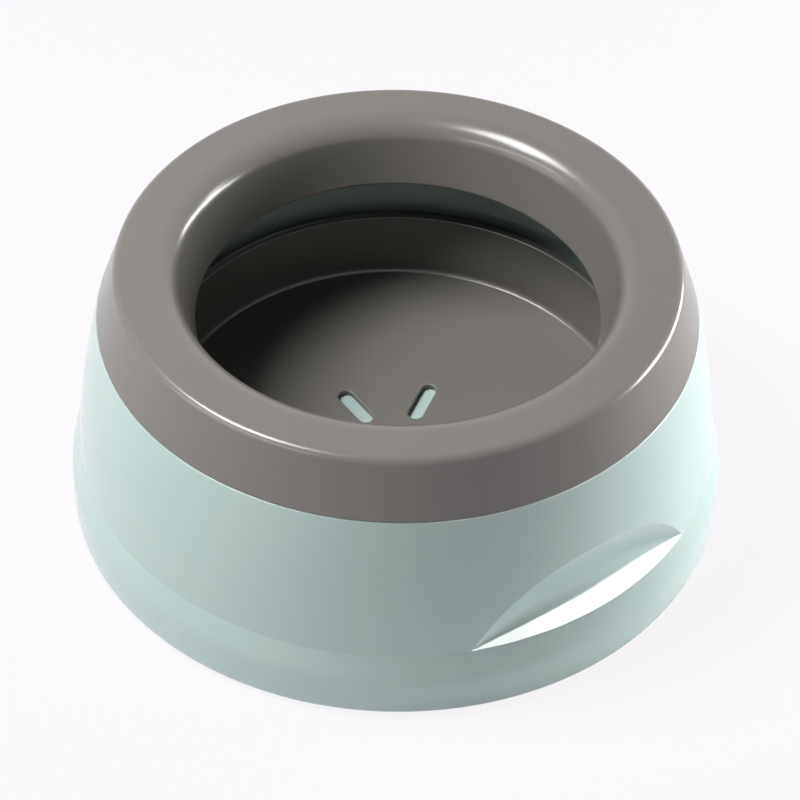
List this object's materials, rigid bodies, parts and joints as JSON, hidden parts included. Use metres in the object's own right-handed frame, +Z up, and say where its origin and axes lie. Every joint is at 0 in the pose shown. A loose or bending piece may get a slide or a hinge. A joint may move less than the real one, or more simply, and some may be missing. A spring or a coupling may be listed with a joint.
{
  "type": "no spill dog water bowl",
  "caption": "Round pet water bowl with a push-on splash ring, a floating disc with drain slots, finger scoops and rubber feet.",
  "frame": {"origin": "on the ground plane, under the middle of the bowl", "axes": "+Z up along the bowl's axis, +X through the middle of one finger scoop"},
  "size_m": [0.21, 0.21, 0.0913],
  "materials": {
    "mint_plastic": "gloss",
    "grey_plastic": "satin gloss",
    "foot_rubber": "matte"
  },
  "bodies": {
    "bowl": {"bowl_body": "mint_plastic", "rubber_foot_1": "foot_rubber", "rubber_foot_2": "foot_rubber", "rubber_foot_3": "foot_rubber", "rubber_foot_4": "foot_rubber"},
    "disc": {"floating_disc": "grey_plastic"},
    "ring": {"splash_ring": "grey_plastic"}
  },
  "joints": [
    {"name": "disc_float", "type": "slide", "parent": "bowl", "child": "disc", "axis": [0, 0, 1], "range_m": [0, 0.0434]},
    {"name": "ring_lift", "type": "slide", "parent": "bowl", "child": "ring", "axis": [0, 0, 1], "range_m": [0, 0.06]}
  ]
}
